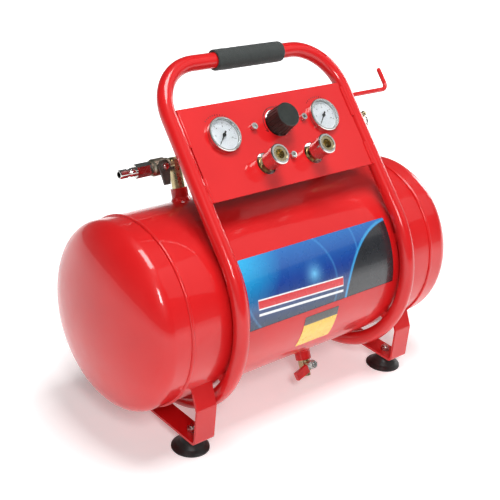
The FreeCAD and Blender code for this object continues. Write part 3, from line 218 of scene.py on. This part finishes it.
FINISHES = {
    "red_paint": red_enamel(),
    "black_foam": foam(),
    "black_rubber": rubber(),
    "zinc_steel": metal("zinc", (0.5, 0.5, 0.49), (0.7, 0.7, 0.68), 0.2, 0.36),
    "cast_zinc": metal("cast_zinc", (0.4, 0.4, 0.39), (0.52, 0.52, 0.5), 0.4, 0.58, pits=0.0002),
    "black_plastic": plastic("black_plastic", (0.008, 0.012, 0.01), (0.016, 0.021, 0.018), 0.36, 0.48),
    "spring_steel": metal("spring_steel", (0.45, 0.44, 0.41), (0.68, 0.67, 0.63), 0.16, 0.3),
    "chrome_plate": metal("chrome_plate", (0.58, 0.57, 0.55), (0.72, 0.71, 0.69), 0.14, 0.24),
    "brass": metal("brass", (0.4, 0.33, 0.18), (0.6, 0.51, 0.31), 0.2, 0.38),
    "nickel_brass": metal("nickel_brass", (0.34, 0.32, 0.24), (0.54, 0.51, 0.41), 0.34, 0.5),
    "dark_lever": plastic("dark_lever", (0.03, 0.024, 0.02), (0.06, 0.048, 0.04), 0.34, 0.5),
    "red_vinyl": plastic("red_vinyl", (0.5, 0.01, 0.012), (0.62, 0.02, 0.02), 0.3, 0.42, coat=0.4),
    "white_dial": plastic("white_dial", (0.83, 0.86, 0.9), (0.88, 0.9, 0.93), 0.45, 0.55, pits=0.00001),
    "clear_lens": clear_lens(),
    "black_pointer": plastic("black_pointer", (0.01, 0.01, 0.01), (0.02, 0.02, 0.02), 0.3, 0.4),
    "seat_plastic": plastic("seat_plastic", (0.7, 0.7, 0.66), (0.8, 0.8, 0.77), 0.35, 0.45),
}


def paint_model():
    """Gives every node of the model its finish."""
    for part in frame["record"]["subparts"]:
        data = frame["nodes"][part["node"]].data
        data.materials.clear()
        data.materials.append(FINISHES[part["material_slot"]])


# --- finishes of the printed pieces -----------------------------------------------------------------
def maths(tree, operation, first, second=0.0):
    return node(tree, "Math", {"operation": operation}, _0=first, _1=second).outputs[0]


def blend(tree, share, under, over):
    """One colour laid over another by a share of 0 to 1."""
    made = node(tree, "Mix", {"data_type": "RGBA"}, _0=share)
    for socket, colour in ((made.inputs[6], under), (made.inputs[7], over)):
        if isinstance(colour, bpy.types.NodeSocket):
            tree.links.new(colour, socket)
        else:
            socket.default_value = (*colour, 1)
    return made.outputs[2]


def on_shell(tree):
    """Sockets for the place along the tank and for the way round it from the top, both in millimetres."""
    where = node(tree, "SeparateXYZ", Vector=place(tree)).outputs
    forward = maths(tree, "SUBTRACT", AXIS_Y, where["Y"])
    above = maths(tree, "SUBTRACT", where["Z"], AXIS_Z)
    turned = maths(tree, "ARCTAN2", forward, above)
    return maths(tree, "DIVIDE", where["X"], MM), maths(tree, "MULTIPLY", turned, TANK_RADIUS / MM)


def distance(tree, along, around, centre):
    """How far a place on the shell is from a centre on it."""
    across = maths(tree, "POWER", maths(tree, "SUBTRACT", along, centre[0]), 2.0)
    down = maths(tree, "POWER", maths(tree, "SUBTRACT", around, centre[1]), 2.0)
    return maths(tree, "SQRT", maths(tree, "ADD", across, down))


def between(tree, value, low, high, soft=0.6):
    """1 where a value lies in a band, with soft edges."""
    rise = node(tree, "MapRange", _0=value, _1=low - soft, _2=low + soft).outputs[0]
    fall = node(tree, "MapRange", _0=value, _1=high + soft, _2=high - soft).outputs[0]
    return maths(tree, "MULTIPLY", rise, fall)


def gloss(tree, shader, colour):
    """A printed film: its colour, a slightly uneven shine and a fine orange peel."""
    tree.links.new(colour, shader.inputs["Base Color"])
    tree.links.new(spread(tree, noise(tree, 60, 3), 0.22, 0.34), shader.inputs["Roughness"])
    shader.inputs["Coat Weight"].default_value = 0.6
    shader.inputs["Coat Roughness"].default_value = 0.06
    grain(tree, shader, noise(tree, 400, 2), 0.00003, 0.3)


FILM_WHITE = (0.8, 0.82, 0.84)
FILM_RED = (0.6, 0.012, 0.02)
FILM_SKY = (0.01, 0.42, 0.75)
FILM_FLARE = (0.16, 0.5, 0.8)
FILM_ARC = (0.1, 0.45, 0.85)
FILM_RIM = (0.04, 0.3, 0.6)
FILM_DARK = (0.018, 0.02, 0.024)
FILM_FIELD = ((0.0, (0.01, 0.13, 0.42)), (0.45, (0.006, 0.045, 0.27)), (1.0, (0.006, 0.03, 0.07)))


def film_field(tree, along, around):
    """Blue that darkens downwards, with a pale corner and a soft flare."""
    fade = node(tree, "MapRange", _0=around, _1=92.0, _2=177.0).outputs[0]
    field = ramp(tree, fade, *FILM_FIELD)
    to_corner = distance(tree, along, around, (-125, 92))
    corner = node(tree, "MapRange", _0=to_corner, _1=70.0, _2=0.0).outputs[0]
    field = blend(tree, corner, field, FILM_SKY)
    to_flare = distance(tree, along, around, (-12, 133))
    flare = node(tree, "MapRange", _0=to_flare, _1=26.0, _2=0.0).outputs[0]
    return blend(tree, maths(tree, "POWER", flare, 3.0), field, FILM_FLARE)


def film_arcs(tree, along, around, field):
    for centre, radius in (((-60, 150), 84), ((-30, 112), 96)):
        arc = between(tree, distance(tree, along, around, centre), radius - 0.8, radius + 0.8, 1.4)
        field = blend(tree, maths(tree, "MULTIPLY", arc, 0.35), field, FILM_ARC)
    return field


def film_stripes(tree, along, around, field):
    """A red band with a white edge, and a white line under it, slightly slanted."""
    slanted = maths(tree, "SUBTRACT", around, maths(tree, "MULTIPLY", along, 0.04))
    inside = between(tree, along, -104, 34)
    for low, high, colour in ((146, 158.5, FILM_WHITE), (147.6, 156.9, FILM_RED), (163, 166, FILM_WHITE)):
        band = maths(tree, "MULTIPLY", between(tree, slanted, low, high, 0.3), inside)
        field = blend(tree, band, field, colour)
    return field


def film_end(tree, along, around, field):
    """A dark round end with a paler rim."""
    end = distance(tree, along, around, (135, 190))
    field = blend(tree, between(tree, end, 95, 98.5, 1.0), field, FILM_RIM)
    return blend(tree, between(tree, end, -10, 95), field, FILM_DARK)


def blue_film():
    """A blue printed field with a dark end, pale arcs, a soft flare and a plain striped band."""
    material, tree, shader = finish("blue_film")
    along, around = on_shell(tree)
    field = film_field(tree, along, around)
    field = film_arcs(tree, along, around, field)
    field = film_stripes(tree, along, around, field)
    field = film_end(tree, along, around, field)
    gloss(tree, shader, field)
    return material


def yellow_film():
    """A yellow printed field under a dark heading, both blank."""
    material, tree, shader = finish("yellow_film")
    _, around = on_shell(tree)
    yellow = ramp(tree, noise(tree, 120, 3), (0.3, (0.78, 0.5, 0.02)), (0.7, (0.86, 0.58, 0.035)))
    field = blend(tree, between(tree, around, 150, 198, 0.4), yellow, (0.03, 0.035, 0.035))
    gloss(tree, shader, field)
    return material


def dark_print():
    material, tree, shader = finish("dark_print")
    tint = ramp(tree, noise(tree, 150, 2), (0.3, (0.11, 0.004, 0.005)), (0.7, (0.17, 0.007, 0.008)))
    gloss(tree, shader, tint)
    return material


# --- how pieces are modelled ------------------------------------------------------------------------
def only(piece):
    bpy.ops.object.select_all(action="DESELECT")
    piece.select_set(True)
    bpy.context.view_layer.objects.active = piece


def start(primitive, **sizes):
    """Adds a primitive with nothing else selected."""
    bpy.ops.object.select_all(action="DESELECT")
    getattr(bpy.ops.mesh, f"primitive_{primitive}_add")(**sizes)
    return bpy.context.object


def edit(piece):
    """Opens a mesh with nothing in it selected."""
    only(piece)
    bpy.ops.object.mode_set(mode="EDIT")
    bpy.ops.mesh.select_mode(type="FACE")
    bpy.ops.mesh.select_all(action="DESELECT")


def select_all():
    bpy.ops.mesh.select_all(action="SELECT")


def close_outward():
    """Turns every face of the open mesh outwards and closes it."""
    select_all()
    bpy.ops.mesh.normals_make_consistent(inside=False)
    bpy.ops.object.mode_set(mode="OBJECT")


def raise_print():
    """Gives the open flat mesh the thickness of print, and closes it."""
    bpy.ops.mesh.extrude_region_move(TRANSFORM_OT_translate={"value": (0, 0, PRINT_THICK * MM)})
    close_outward()


def pick_faces(test):
    """Selects the faces of the open mesh whose middle passes a test."""
    data = bpy.context.edit_object.data
    for face in bmesh.from_edit_mesh(data).faces:
        if test(face.calc_center_median()):
            face.select_set(True)
    bmesh.update_edit_mesh(data)


def pick_points(test):
    """Selects the vertices of the open mesh that pass a test."""
    data = bpy.context.edit_object.data
    for point in bmesh.from_edit_mesh(data).verts:
        if test(point.co):
            point.select_set(True)
    bmesh.update_edit_mesh(data)


def apply(piece, kind, **settings):
    """Adds a modifier and applies it."""
    only(piece)
    made = piece.modifiers.new(kind.lower(), kind)
    for name, value in settings.items():
        setattr(made, name, value)
    bpy.ops.object.modifier_apply(modifier=made.name)


def stand(at, turn=0.0):
    """A place on the panel: X along the tank, Y up the legs, Z outwards, turned about Z by degrees."""
    axes = Matrix((ACROSS, UPWARD, OUTWARD)).transposed().to_4x4()
    return Matrix.Translation(at) @ axes @ Matrix.Rotation(math.radians(turn), 4, "Z")


def bring(piece, where):
    only(piece)
    piece.matrix_world = where @ piece.matrix_world
    bpy.ops.object.transform_apply(location=True, rotation=True, scale=True)


def join(pieces):
    only(pieces[0])
    for piece in pieces:
        piece.select_set(True)
    bpy.ops.object.join()
    return bpy.context.object


def settle(piece, name, material, smooth=35):
    """Names a finished piece, gives it its finish and slot, and lets it ride on the tank."""
    only(piece)
    piece.name = name
    piece.data.name = name
    bpy.ops.object.transform_apply(location=True, rotation=True, scale=True)
    bpy.ops.object.shade_smooth_by_angle(angle=math.radians(smooth))
    piece.data.materials.clear()
    piece.data.materials.append(material)
    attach(piece, ROOT)


# --- foam grip --------------------------------------------------------------------------------------
def foam_grip():
    """A sleeve of foam round the bar, a little uneven, with soft ends."""
    low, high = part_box("foam_grip")
    radius = (high.y - low.y) / 2
    sleeve = start(
        "cylinder",
        vertices=96,
        radius=radius,
        depth=high.x - low.x,
        location=(low + high) / 2,
        rotation=(0, math.pi / 2, 0),
    )
    bpy.ops.object.transform_apply(location=True, rotation=True, scale=True)
    edit(sleeve)
    pick_faces(lambda middle: min(abs(middle.x - low.x), abs(middle.x - high.x)) < 0.1 * MM)
    bpy.ops.mesh.inset(thickness=radius - (TUBE_RADIUS + GRIP_SLACK) * MM, use_individual=True)
    bpy.ops.mesh.delete(type="FACE")
    bpy.ops.mesh.select_mode(type="EDGE")
    bpy.ops.mesh.select_all(action="DESELECT")
    bpy.ops.mesh.select_non_manifold()
    bpy.ops.mesh.bridge_edge_loops()
    close_outward()
    apply(sleeve, "BEVEL", width=2.4 * MM, segments=5, limit_method="ANGLE", angle_limit=math.radians(60))
    apply(sleeve, "REMESH", mode="VOXEL", voxel_size=0.9 * MM, use_smooth_shade=True)
    dimples = bpy.data.textures.new("foam_dimples", "CLOUDS")
    dimples.noise_scale = 14 * MM
    apply(sleeve, "DISPLACE", texture=dimples, texture_coords="LOCAL", strength=0.7 * MM, mid_level=0.62)
    apply(sleeve, "SMOOTH", iterations=2)
    settle(sleeve, "foam_sleeve", FINISHES["black_foam"], smooth=60)
    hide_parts("foam_grip")


# --- labels on the shell ----------------------------------------------------------------------------
def flip_if_inward(film):
    """Turns an open sheet's faces away from the tank's axis."""
    face = film.data.polygons[0]
    outward = Vector((0, face.center.y - AXIS_Y, face.center.z - AXIS_Z))
    if face.normal.dot(outward) < 0:
        edit(film)
        select_all()
        bpy.ops.mesh.flip_normals()
        bpy.ops.object.mode_set(mode="OBJECT")


def shell_point(across, angle):
    """A point on the shell, by millimetres along the tank and degrees from its top."""
    turn = math.radians(angle)
    forward, above = math.sin(turn) * TANK_RADIUS, math.cos(turn) * TANK_RADIUS
    return Vector((across * MM, AXIS_Y - forward, AXIS_Z + above))


def shell_patch(name, material, left, right, top, bottom, corner):
    """A film laid on the shell from left to right, between two angles from the top towards the front."""
    centre = ((left + right) / 2 * MM, AXIS_Y, AXIS_Z)
    film = start(
        "cylinder",
        vertices=360,
        radius=TANK_RADIUS + LABEL_PROUD * MM,
        depth=(right - left) * MM,
        end_fill_type="NOTHING",
        location=centre,
        rotation=(0, math.pi / 2, 0),
    )
    bpy.ops.object.transform_apply(location=True, rotation=True, scale=True)
    edit(film)
    for angle, side in ((top, 1), (bottom, -1)):
        turned = math.radians(angle)
        onward = Vector((0, -math.cos(turned), -math.sin(turned))) * side
        select_all()
        bpy.ops.mesh.bisect(plane_co=centre, plane_no=onward, clear_inner=True)
    bpy.ops.mesh.select_mode(type="VERT")
    bpy.ops.mesh.select_all(action="DESELECT")
    corners = [shell_point(across, angle) for across in (left, right) for angle in (top, bottom)]
    pick_points(lambda point: min((point - near).length for near in corners) < 0.8 * MM)
    bpy.ops.mesh.bevel(affect="VERTICES", offset=corner * MM, segments=5)
    close_outward()
    flip_if_inward(film)
    apply(film, "SOLIDIFY", thickness=LABEL_THICK * MM, offset=-1)
    settle(film, name, material)


# --- print on the dials and on the panel ------------------------------------------------------------
def bar(length, width, out_to):
    """A thin printed bar that ends at a distance from the dial's middle, along X."""
    made = start("plane", size=1)
    edit(made)
    select_all()
    bpy.ops.transform.resize(value=(length * MM, width * MM, 1))
    bpy.ops.transform.translate(value=((out_to - length / 2) * MM, 0, 0))
    raise_print()
    return made


def numeral(text, size, angle, reach):
    """An upright number at an angle and a distance from the dial's middle."""
    bpy.ops.object.select_all(action="DESELECT")
    bpy.ops.object.text_add()
    made = bpy.context.object
    made.data.body = text
    made.data.size = size * MM
    made.data.align_x = "CENTER"
    made.data.align_y = "CENTER"
    made.data.extrude = PRINT_THICK * MM / 2
    bpy.ops.object.convert(target="MESH")
    turn = math.radians(angle)
    at = Vector((reach * math.cos(turn), reach * math.sin(turn), PRINT_THICK / 2)) * MM
    bring(made, Matrix.Translation(at))
    return made


def tick_size(step):
    """Length and width of a tick: every tenth is longest and every fifth is longer than the rest."""
    if step % 10 == 0:
        return 3.0, 0.42
    if step % 5 == 0:
        return 2.3, 0.3
    return 1.3, 0.16


def gauge_middle(side, lift):
    """The middle of a gauge, lifted by millimetres from the place where its pointer turns."""
    return Vector(JOINTS[f"gauge_{side}_pointer_turn"]["pos_m"]) + OUTWARD * lift * MM


def dial_print(side):
    """Ticks and numbers of a pressure scale, on one gauge's dial."""
    pieces = []
    for step in range(DIAL_STEPS + 1):
        tick = bar(*tick_size(step), TICK_END)
        angle = DIAL_ZERO - DIAL_SWEEP * step / DIAL_STEPS
        bring(tick, Matrix.Rotation(math.radians(angle), 4, "Z"))
        pieces.append(tick)
    for step in range(DIAL_NUMBERS + 1):
        angle = DIAL_ZERO - DIAL_SWEEP * step / DIAL_NUMBERS
        pieces.append(numeral(str(2 * step), NUMBER_SIZE, angle, NUMBER_REACH))
    printed = join(pieces)
    bring(printed, stand(gauge_middle(side, PRINT_PROUD - DIAL_BELOW_POINTER)))
    settle(printed, f"dial_print_{side}", FINISHES["black_pointer"])


def arc_strip(inner, outer, first, last):
    """A flat printed arc of less than half a turn between two angles."""
    made = start("circle", vertices=180, radius=outer * MM, fill_type="NGON")
    edit(made)
    select_all()
    bpy.ops.mesh.inset(thickness=(outer - inner) * MM)
    bpy.ops.mesh.delete(type="FACE")
    for angle, side in ((first, 1), (last, -1)):
        turn = math.radians(angle)
        onward = Vector((-math.sin(turn), math.cos(turn), 0)) * side
        select_all()
        bpy.ops.mesh.bisect(plane_co=(0, 0, 0), plane_no=onward, clear_inner=True)
    select_all()
    raise_print()
    return made


def turning_mark():
    """An arc round the knob with an arrow head at each end."""
    pieces = [arc_strip(MARK_INNER, MARK_OUTER, MARK_FIRST, MARK_LAST)]
    reach = (MARK_INNER + MARK_OUTER) / 2 * MM
    for angle, back in ((MARK_LAST, -90), (MARK_FIRST, 90)):
        tip = Matrix.Rotation(math.radians(angle), 4, "Z") @ Matrix.Translation((reach, 0, 0))
        for side in (-1, 1):
            wing = bar(ARROW_LENGTH, ARROW_WIDTH, ARROW_LENGTH)
            bring(wing, tip @ Matrix.Rotation(math.radians(back + side * ARROW_SPREAD), 4, "Z"))
            pieces.append(wing)
    mark = join(pieces)
    knob = Vector(JOINTS["regulator_spindle_turn"]["pos_m"])
    bring(mark, stand(knob + OUTWARD * (PANEL_FACE + PRINT_PROUD - BONNET_FRONT) * MM))
    return mark


def panel_print():
    """A turning mark round the knob and a row of dots over each gauge, in dark red."""
    marks = [turning_mark()]
    for side in ("left", "right"):
        middle = gauge_middle(side, PANEL_FACE + PRINT_PROUD - POINTER_LIFT)
        for index in range(DOTS):
            dot = bar(DOT_LENGTH, DOT_WIDTH, DOT_REACH)
            bring(dot, stand(middle, DOT_FIRST + DOT_APART * index))
            marks.append(dot)
    settle(join(marks), "panel_print", dark_print())


# --- springs ----------------------------------------------------------------------------------------
def shorten(spring):
    """Gives the spring its own copy of its mesh and leaves its shape as it is."""
    coil = frame["nodes"][spring]
    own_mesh(coil)


def coil_springs():
    shorten("regulator_spring")
    shorten("coupler_left_spring")
    shorten("coupler_right_spring")
    shorten("safety_valve_spring")


# --- studio -----------------------------------------------------------------------------------------
def camera():
    """The three-quarter view from the front left, a little above."""
    place_at = Vector((-811.6, -843.7, 746.6)) * MM
    looks_along = Vector((0.6188, 0.6541, -0.4351))
    roll = math.radians(5.64)
    made = bpy.data.objects.new("camera", bpy.data.cameras.new("camera"))
    made.data.sensor_width = 36
    made.data.lens = 73.07
    made.data.shift_x = -0.0208
    made.data.shift_y = 0.0077
    turn = looks_along.to_track_quat("-Z", "Y").to_matrix().to_4x4() @ Matrix.Rotation(roll, 4, "Z")
    made.matrix_world = Matrix.Translation(place_at) @ turn
    bpy.context.scene.collection.objects.link(made)
    bpy.context.scene.camera = made


def softbox(name, at, aim, size, watts, tall=None):
    data = bpy.data.lights.new(name, "AREA")
    data.shape = "RECTANGLE"
    data.size = size
    data.size_y = tall or size
    data.energy = watts
    made = bpy.data.objects.new(name, data)
    made.location = at
    made.rotation_euler = (Vector(aim) - Vector(at)).to_track_quat("-Z", "Y").to_euler()
    bpy.context.scene.collection.objects.link(made)


def surround():
    """A dim room, a little paler at the horizon, so that red enamel keeps its depth."""
    world = bpy.data.worlds.new("surround")
    bpy.context.scene.world = world
    world.use_nodes = True
    tree = world.node_tree
    height = node(tree, "SeparateXYZ", Vector=node(tree, "TexCoord").outputs["Generated"]).outputs["Z"]
    tone = ramp(tree, height, (0.0, (0.42, 0.42, 0.42)), (0.25, (0.2, 0.2, 0.2)), (0.9, (0.12, 0.12, 0.12)))
    tree.links.new(tone, tree.nodes["Background"].inputs["Color"])
    tree.nodes["Background"].inputs["Strength"].default_value = 0.5


def studio():
    """A pale floor, a pale surround and soft lamps."""
    bpy.context.scene.view_settings.view_transform = "Standard"
    surround()
    softbox("lamp_front_left", (-1.1, -1.7, 1.7), (0, 0, 0.2), 0.4, 25, tall=0.7)
    softbox("lamp_top", (0.0, -0.2, 2.2), (0, 0, 0.2), 0.9, 37)
    softbox("lamp_panel", (1.24, -0.97, 1.55), (0, 0, 0.33), 1.3, 3.4)
    softbox("lamp_right", (1.9, 0.3, 0.8), (0, 0, 0.2), 0.4, 9, tall=0.8)

    floor = start("plane", size=30, location=(0, 0, 0))
    floor.name = "floor"
    material, tree, shader = finish("floor")
    tint = ramp(tree, noise(tree, 3, 2), (0.3, (0.93, 0.93, 0.93)), (0.7, (0.97, 0.97, 0.97)))
    tree.links.new(tint, shader.inputs["Base Color"])
    shader.inputs["Roughness"].default_value = 0.7
    shader.inputs["Emission Color"].default_value = (1, 1, 1, 1)
    reach = node(tree, "VectorMath", {"operation": "LENGTH"}, _0=place(tree)).outputs["Value"]
    glow = node(tree, "MapRange", _0=reach, _1=0.3, _2=1.2, _3=0.3, _4=0.95).outputs[0]
    tree.links.new(glow, shader.inputs["Emission Strength"])
    floor.data.materials.append(material)


paint_model()
foam_grip()
shell_patch("label_blue", blue_film(), **BLUE_LABEL)
shell_patch("label_yellow", yellow_film(), **YELLOW_LABEL)
for gauge_side in ("left", "right"):
    dial_print(gauge_side)
panel_print()
coil_springs()
camera()
studio()
